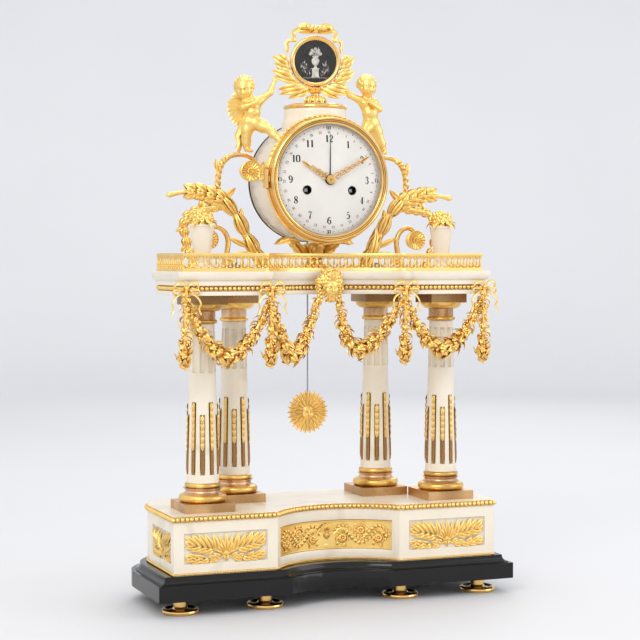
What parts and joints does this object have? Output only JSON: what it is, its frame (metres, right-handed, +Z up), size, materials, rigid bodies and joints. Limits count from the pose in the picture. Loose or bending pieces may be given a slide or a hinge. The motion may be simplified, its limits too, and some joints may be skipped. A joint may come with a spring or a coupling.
{
  "type": "portico clock",
  "caption": "Mantel clock with a round enamel dial in a marble drum, carried on a columned portico with gilt bronze garlands, scrolls and figures.",
  "frame": {"origin": "middle of the footprint, on the surface that the clock stands on", "axes": "+X to the right as the dial is read, +Y to the back, +Z up"},
  "size_m": [0.37, 0.15, 0.57],
  "materials": {
    "gilt_bronze": "fire-gilt, matt and burnished",
    "burnished_gilt": "burnished gilt",
    "white_marble": "polished marble",
    "black_marble": "polished marble",
    "painted_plaque": "painted",
    "enamel": "fired enamel on copper",
    "glass": "clear",
    "brass": "polished",
    "steel": "blued or grey steel"
  },
  "bodies": {
    "case": {"feet": "gilt_bronze", "black_plinth": "black_marble", "marble_base": "white_marble", "base_beads": "gilt_bronze", "relief_panel": "gilt_bronze", "leaf_panels": "gilt_bronze", "column_bases": "burnished_gilt", "column_shafts": "white_marble", "column_flute_rods": "gilt_bronze", "column_capitals": "burnished_gilt", "tie_rods": "steel", "entablature": "white_marble", "entablature_bead": "gilt_bronze", "gallery_fronts": "gilt_bronze", "gallery_bay": "gilt_bronze", "gallery_ends": "gilt_bronze", "gallery_back": "gilt_bronze", "mask": "gilt_bronze", "swags": "gilt_bronze", "bow_drops": "gilt_bronze", "drum_case": "white_marble", "drum_foot": "gilt_bronze", "drum_cap": "white_marble", "cap_ring": "gilt_bronze", "scroll_left": "gilt_bronze", "scroll_right": "gilt_bronze", "urns": "white_marble", "bouquets": "gilt_bronze", "putto_left": "gilt_bronze", "putto_right": "gilt_bronze", "medallion_frame": "gilt_bronze", "medallion_plaque": "painted_plaque", "laurel_wreath": "gilt_bronze", "seat_ring": "burnished_gilt", "dial": "enamel", "rear_ring": "brass", "hinge_pins": "brass", "front_plate": "brass", "rear_plate": "brass", "movement_pillars": "brass", "suspension_cock": "brass", "bell": "brass"},
    "front_door": {"bezel": "burnished_gilt", "bezel_glass": "glass"},
    "rear_door": {"rear_door": "brass"},
    "minute_hand": {"minute_hand": "gilt_bronze"},
    "hour_hand": {"hour_hand": "gilt_bronze"},
    "date_hand": {"date_hand": "steel"},
    "pendulum": {"pendulum_rod": "steel", "pendulum_bob": "gilt_bronze"},
    "anchor": {"anchor": "steel"},
    "escape_wheel": {"escape_wheel": "brass"},
    "third_wheel": {"third_wheel": "brass"},
    "centre_wheel": {"centre_wheel": "brass"},
    "intermediate_wheel": {"intermediate_wheel": "brass"},
    "going_barrel": {"going_barrel": "brass"},
    "strike_barrel": {"strike_barrel": "brass"},
    "going_arbor": {"going_arbor": "steel"},
    "strike_arbor": {"strike_arbor": "steel"},
    "hammer": {"hammer": "steel"}
  },
  "joints": [
    {"name": "front_door_hinge", "type": "hinge", "parent": "case", "child": "front_door", "pos_m": [-0.0646, -0.037, 0.4139], "axis": [0, 0, -1], "range_deg": [0, 110]},
    {"name": "rear_door_hinge", "type": "hinge", "parent": "case", "child": "rear_door", "pos_m": [0.059, 0.0342, 0.4139], "axis": [0, 0, -1], "range_deg": [0, 110]},
    {"name": "minute_hand_turn", "type": "hinge", "parent": "case", "child": "minute_hand", "pos_m": [0, 0, 0.4139], "axis": [0, 1, 0], "continuous": true},
    {"name": "hour_hand_turn", "type": "hinge", "parent": "case", "child": "hour_hand", "pos_m": [0, 0, 0.4139], "axis": [0, 1, 0], "continuous": true},
    {"name": "date_hand_turn", "type": "hinge", "parent": "case", "child": "date_hand", "pos_m": [0, 0, 0.4139], "axis": [0, 1, 0], "continuous": true},
    {"name": "pendulum_swing", "type": "hinge", "parent": "case", "child": "pendulum", "pos_m": [0, 0, 0.4489], "axis": [0, 1, 0], "range_deg": [-4, 4]},
    {"name": "anchor_swing", "type": "hinge", "parent": "case", "child": "anchor", "pos_m": [0, 0, 0.4489], "axis": [0, 1, 0], "range_deg": [-4, 4]},
    {"name": "escape_wheel_turn", "type": "hinge", "parent": "case", "child": "escape_wheel", "pos_m": [0, 0, 0.4359], "axis": [0, 1, 0], "continuous": true},
    {"name": "third_wheel_turn", "type": "hinge", "parent": "case", "child": "third_wheel", "pos_m": [-0.00939, 0, 0.42772], "axis": [0, 1, 0], "continuous": true},
    {"name": "centre_wheel_turn", "type": "hinge", "parent": "case", "child": "centre_wheel", "pos_m": [0, 0, 0.4139], "axis": [0, 1, 0], "continuous": true},
    {"name": "intermediate_wheel_turn", "type": "hinge", "parent": "case", "child": "intermediate_wheel", "pos_m": [0.01006, 0, 0.42539], "axis": [0, 1, 0], "continuous": true},
    {"name": "going_barrel_turn", "type": "hinge", "parent": "case", "child": "going_barrel", "pos_m": [0.0236, 0, 0.4036], "axis": [0, 1, 0], "continuous": true},
    {"name": "strike_barrel_turn", "type": "hinge", "parent": "case", "child": "strike_barrel", "pos_m": [-0.0236, 0, 0.4036], "axis": [0, 1, 0], "continuous": true},
    {"name": "going_winding", "type": "hinge", "parent": "case", "child": "going_arbor", "pos_m": [0.0236, 0, 0.4036], "axis": [0, 1, 0], "continuous": true},
    {"name": "strike_winding", "type": "hinge", "parent": "case", "child": "strike_arbor", "pos_m": [-0.0236, 0, 0.4036], "axis": [0, 1, 0], "continuous": true},
    {"name": "hammer_strike", "type": "hinge", "parent": "case", "child": "hammer", "pos_m": [0.034, 0, 0.4299], "axis": [0, 1, 0], "range_deg": [-10, 0], "stiffness_Nm_per_rad": 0.02}
  ],
  "couplings": [
    {"joint": "hour_hand_turn", "follows": "minute_hand_turn", "ratio": 0.083333},
    {"joint": "date_hand_turn", "follows": "minute_hand_turn", "ratio": 0.0013441},
    {"joint": "anchor_swing", "follows": "pendulum_swing", "ratio": 1},
    {"joint": "third_wheel_turn", "follows": "escape_wheel_turn", "ratio": -0.083333},
    {"joint": "centre_wheel_turn", "follows": "escape_wheel_turn", "ratio": 0.0083333},
    {"joint": "intermediate_wheel_turn", "follows": "escape_wheel_turn", "ratio": -0.00092593},
    {"joint": "going_barrel_turn", "follows": "escape_wheel_turn", "ratio": 0.00015432}
  ]
}
